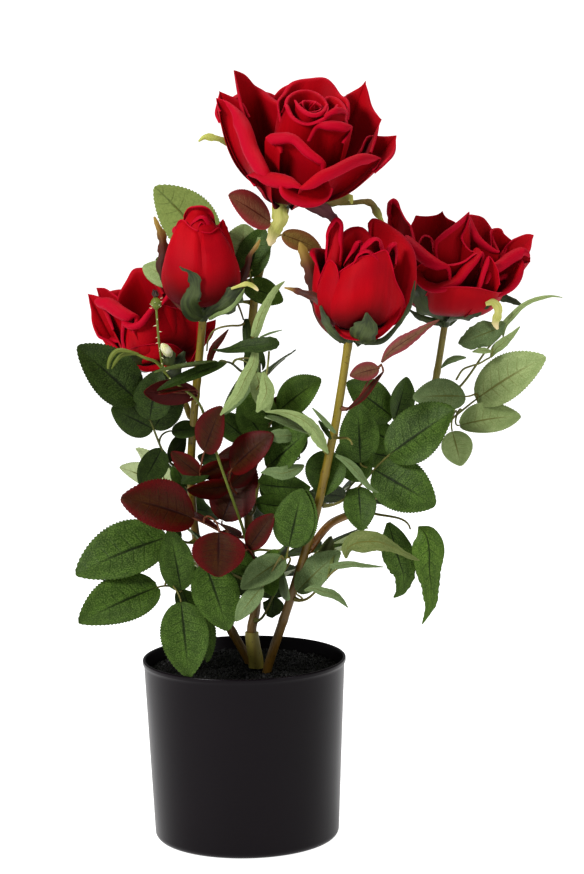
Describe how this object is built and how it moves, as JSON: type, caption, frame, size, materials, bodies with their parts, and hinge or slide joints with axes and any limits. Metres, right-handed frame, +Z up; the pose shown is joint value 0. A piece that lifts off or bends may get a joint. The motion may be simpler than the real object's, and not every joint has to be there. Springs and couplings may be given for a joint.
{
  "type": "artificial rose bush",
  "caption": "Artificial rose bush: upright canes with red cloth blooms, buds and toothed compound leaves, standing in the filling of a plain black round pot.",
  "frame": {"origin": "centre of the pot's flat underside, where the plant stands", "axes": "+Z up along the canes; -Y towards the front, the side the top bloom faces; +X to the bush's right"},
  "size_m": [0.3297, 0.1902, 0.5229],
  "materials": {
    "pot_black": "satin black moulded plastic",
    "soil_dark": "dark loose granules",
    "cane_olive": "olive yellow moulded cane",
    "cane_brown": "orange brown moulded cane",
    "shoot_green": "green moulded shoot",
    "petal_red": "velvety red cloth",
    "sepal_green": "dark green cloth",
    "leaf_green": "dark green printed cloth",
    "leaf_pale": "pale grey green printed cloth",
    "leaf_burgundy": "burgundy printed cloth",
    "leaf_olive": "olive brown printed cloth"
  },
  "bodies": {
    "root": {"pot": "pot_black", "soil": "soil_dark", "trunk": "cane_brown", "cane_top": "cane_olive", "cane_left_bud": "cane_olive", "cane_right_bud": "cane_olive", "cane_left_bloom": "cane_olive", "cane_right_bloom": "cane_brown", "young_shoot": "shoot_green", "bloom_top": "petal_red", "bloom_left_bud": "petal_red", "bloom_left_bloom": "petal_red", "bloom_right_bud": "petal_red", "bloom_right_bloom": "petal_red", "calyx_top": "sepal_green", "calyx_left_bud": "sepal_green", "calyx_left_bloom": "sepal_green", "calyx_right_bud": "sepal_green", "calyx_right_bloom": "sepal_green", "spray_left_dark": "leaf_green", "spray_low_left": "leaf_green", "spray_low_left_back": "leaf_green", "spray_mid_hang": "leaf_green", "spray_burgundy_mid": "leaf_burgundy", "spray_burgundy_high": "leaf_burgundy", "spray_burgundy_up": "leaf_burgundy", "spray_left_olive": "leaf_olive", "spray_collar": "leaf_burgundy", "spray_centre_green": "leaf_green", "spray_centre_dark": "leaf_green", "spray_centre_pale": "leaf_pale", "spray_top_green": "leaf_green", "spray_bud_back": "leaf_pale", "spray_bud_back_low": "leaf_pale", "spray_top_burgundy": "leaf_burgundy", "spray_top_olive": "leaf_olive", "spray_right_pale": "leaf_pale", "spray_right_upper": "leaf_pale", "spray_right_burgundy": "leaf_burgundy", "spray_right_big": "leaf_green", "spray_right_mid": "leaf_green", "spray_joint_pale": "leaf_pale", "spray_joint_down": "leaf_pale", "spray_top_mid": "leaf_green", "spray_centre_grey": "leaf_pale", "spray_centre_low": "leaf_green", "spray_low_mid": "leaf_green", "spray_low_right": "leaf_pale", "spray_low_pale": "leaf_pale", "spray_right_hang": "leaf_green", "spray_back_low_left": "leaf_green", "spray_back_left": "leaf_green", "spray_back_foot": "leaf_green", "spray_back_mid": "leaf_green", "spray_back_high": "leaf_burgundy", "spray_back_crest": "leaf_green", "spray_back_low_right": "leaf_green", "spray_back_right": "leaf_green", "spray_back_far_right": "leaf_pale"}
  },
  "joints": []
}
